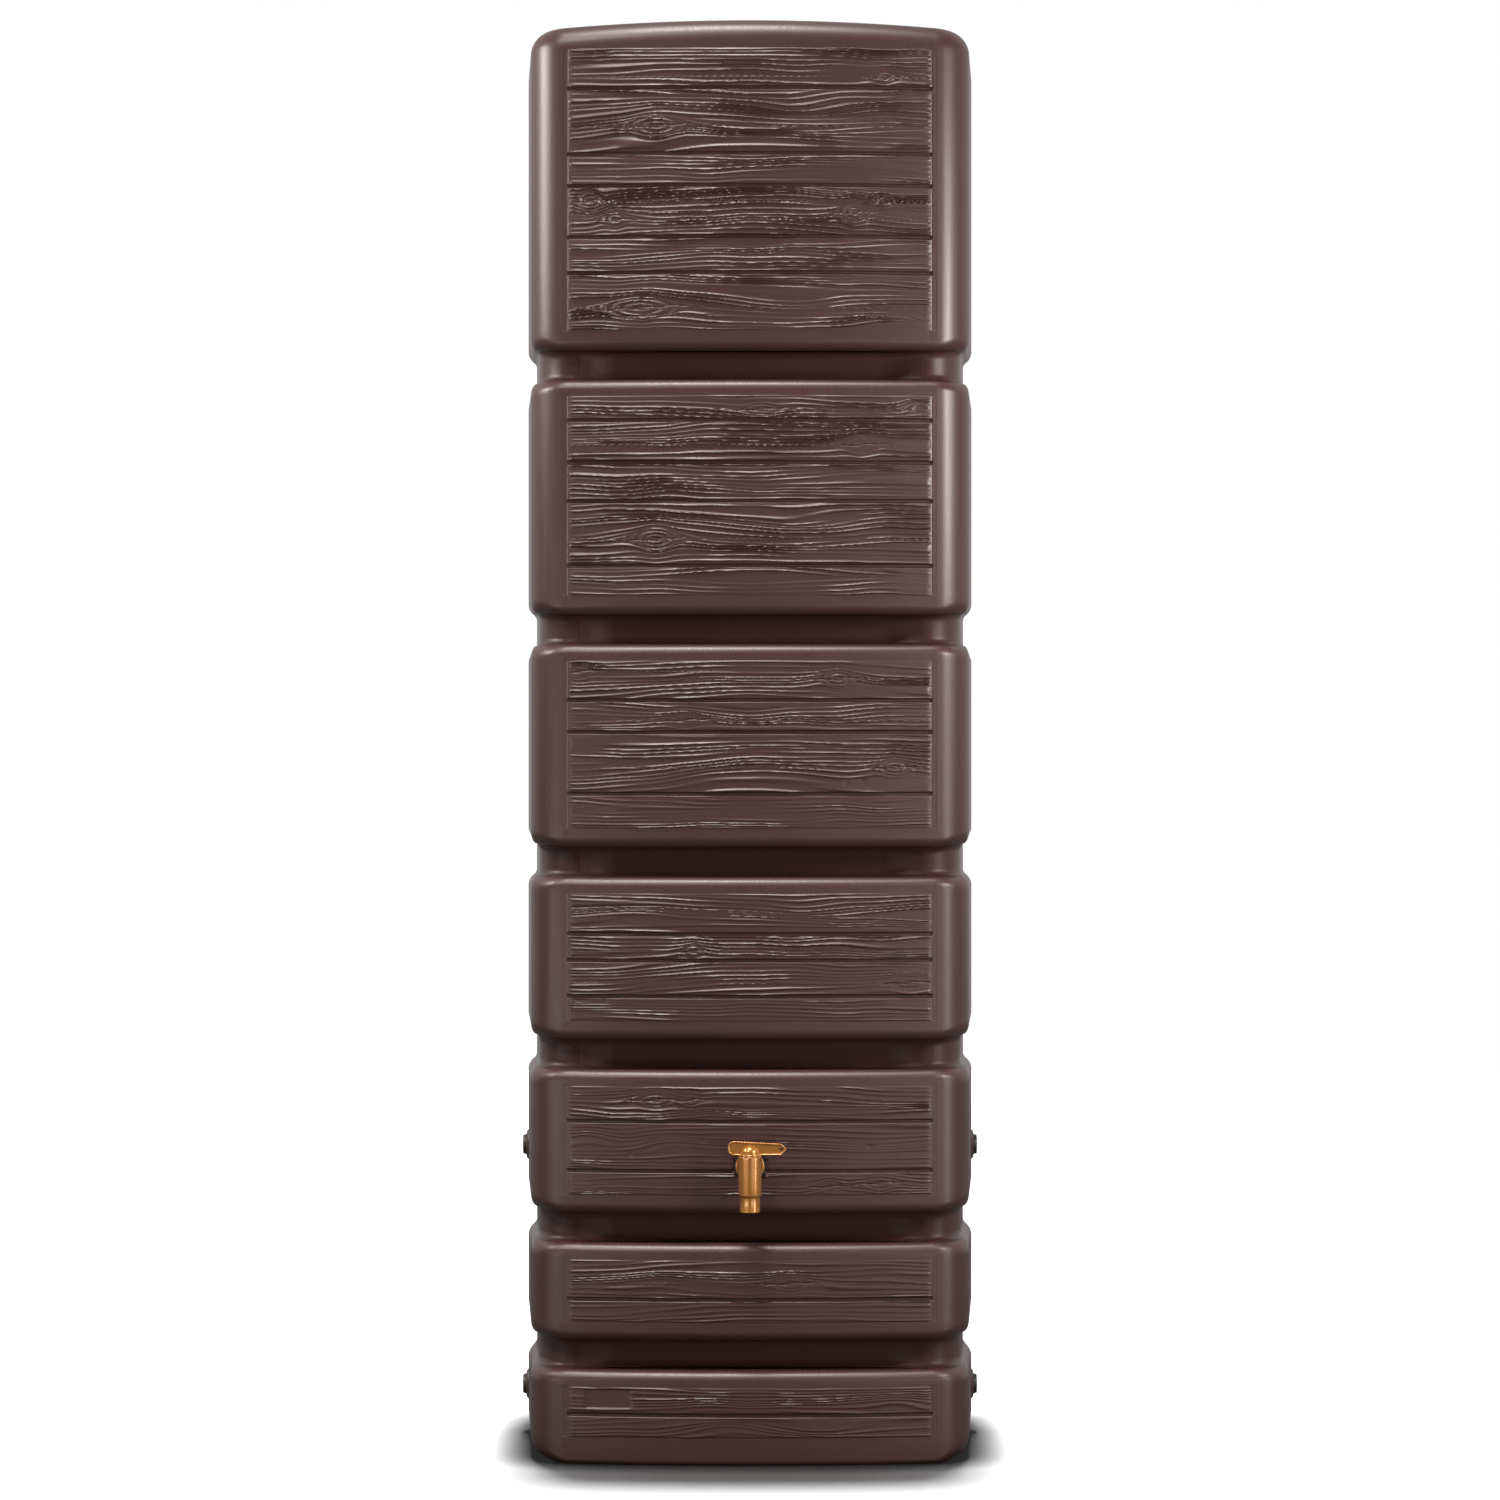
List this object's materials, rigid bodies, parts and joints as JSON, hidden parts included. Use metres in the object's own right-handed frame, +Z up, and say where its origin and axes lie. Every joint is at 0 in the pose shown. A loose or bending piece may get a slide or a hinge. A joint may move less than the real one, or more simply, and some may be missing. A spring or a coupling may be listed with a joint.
{
  "type": "slimline water tank",
  "caption": "Tall slim rainwater tank of stacked blocks with plank-relief panels, waists between them, a quarter-turn tap, plugged side ports and a lift-off lid.",
  "frame": {"origin": "middle of the flat base, on the surface that the tank stands on", "axes": "+Z up; -Y is the front with the planks and the tap; +Y is the flat back that faces a wall; +X is to the right"},
  "size_m": [0.5946, 0.4486, 1.8214],
  "materials": {
    "shell": "satin",
    "lid": "satin",
    "tap": "satin brass-coloured",
    "insert": "machined",
    "plug": "matte",
    "seal": "matte"
  },
  "bodies": {
    "tank": {"tank_body": "shell", "port_insert_left_upper": "insert", "port_seal_left_upper": "seal", "port_plug_left_upper": "plug", "port_insert_right_upper": "insert", "port_seal_right_upper": "seal", "port_plug_right_upper": "plug", "port_insert_left_lower": "insert", "port_seal_left_lower": "seal", "port_plug_left_lower": "plug", "port_insert_right_lower": "insert", "port_seal_right_lower": "seal", "port_plug_right_lower": "plug", "tap_insert": "insert", "tap_seal": "seal", "tap_body": "tap"},
    "valve": {"tap_handle": "tap", "valve_ring_upper": "seal", "valve_ring_lower": "seal"},
    "lid": {"lid": "lid"}
  },
  "joints": [
    {"name": "tap_turn", "type": "hinge", "parent": "tank", "child": "valve", "pos_m": [0, -0.2336, 0.375], "axis": [0, 0, -1], "range_deg": [0, 90]},
    {"name": "lid_lift", "type": "slide", "parent": "tank", "child": "lid", "axis": [0, 0, 1], "range_m": [0, 0.06]}
  ]
}
